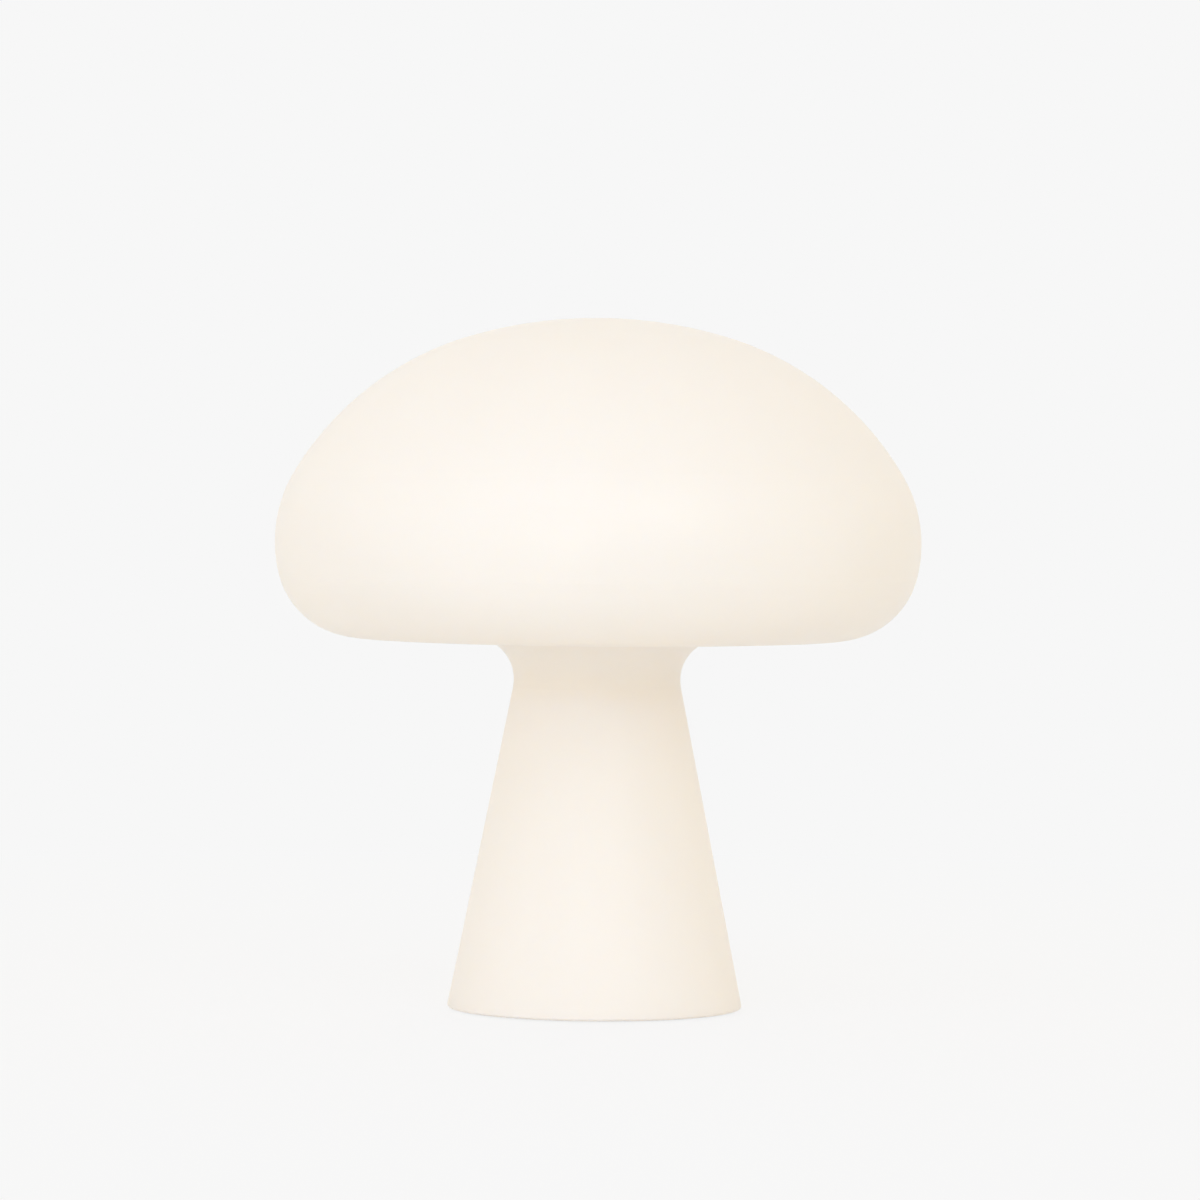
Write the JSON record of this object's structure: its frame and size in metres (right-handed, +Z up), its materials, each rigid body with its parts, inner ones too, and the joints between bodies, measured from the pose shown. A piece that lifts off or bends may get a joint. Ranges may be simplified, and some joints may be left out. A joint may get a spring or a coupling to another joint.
{
  "type": "table lamp",
  "caption": "Mushroom table lamp: a blown opal glass body with a domed cap on a tapered stem, lit from inside by a rechargeable light unit with a push button underneath.",
  "frame": {"origin": "middle of the base, on the surface that the lamp stands on", "axes": "+Z up along the lamp's axis, +Y towards the back, where the charging port is"},
  "size_m": [0.225, 0.225, 0.2408],
  "materials": {
    "opal_glass": "etched opal",
    "silicone_clear": "matte",
    "silicone_foot": "matte",
    "cast_aluminium": "as cast",
    "drawn_aluminium": "satin",
    "moulded_white": "fine spark texture",
    "moulded_button": "satin",
    "moulded_black": "satin",
    "screw_steel": "zinc plated",
    "ballast_steel": "zinc plated",
    "sheet_steel": "satin",
    "nickel": "bright",
    "board_green": "solder mask",
    "board_white": "white solder mask",
    "component_black": "moulded",
    "ferrite": "matte",
    "phosphor": "silicone gel",
    "status_light": "clear",
    "cell_sleeve": "shrink sleeve",
    "fibre": "fish paper",
    "pad_rubber": "moulded",
    "lead_red": "satin",
    "lead_black": "satin",
    "brass": "turned",
    "diffuser_opal": "frosted"
  },
  "bodies": {
    "lamp": {"glass_body": "opal_glass", "bonding_bead": "silicone_clear", "mounting_ring": "cast_aluminium", "chassis": "moulded_white", "chassis_screws": "screw_steel", "bottom_cover": "moulded_white", "cover_screws": "screw_steel", "foot_ring": "silicone_foot", "ballast_ring": "ballast_steel", "tact_switch": "component_black", "main_board": "board_green", "usb_socket_shell": "sheet_steel", "usb_socket_tongue": "component_black", "port_bezel": "moulded_white", "led_connector": "moulded_button", "battery_connector": "moulded_button", "power_inductor": "ferrite", "board_chips": "component_black", "status_led": "status_light", "battery_holder": "moulded_white", "holder_screws": "screw_steel", "battery_cell_left": "cell_sleeve", "battery_cell_right": "cell_sleeve", "cell_link_upper": "nickel", "cell_link_lower": "nickel", "cell_insulator": "fibre", "cell_pads": "pad_rubber", "battery_lead_positive": "lead_red", "battery_lead_negative": "lead_black", "column_tube": "drawn_aluminium", "column_nut_lower": "brass", "column_nut_upper": "brass", "heat_sink": "cast_aluminium", "led_board": "board_white", "led_chips": "phosphor", "led_screws": "screw_steel", "diffuser_dome": "diffuser_opal", "led_lead_positive": "lead_red", "led_lead_negative": "lead_black"},
    "button": {"push_button": "moulded_button"},
    "plunger": {"switch_plunger": "moulded_black"}
  },
  "joints": [
    {"name": "button_press", "type": "slide", "parent": "lamp", "child": "button", "axis": [0, 0, 1], "range_m": [0, 0.0008], "stiffness_N_per_m": 1000, "springref_m": -0.0007},
    {"name": "plunger_press", "type": "slide", "parent": "lamp", "child": "plunger", "axis": [0, 0, 1], "range_m": [0, 0.0008]}
  ],
  "couplings": [
    {"joint": "plunger_press", "follows": "button_press", "ratio": 1}
  ]
}
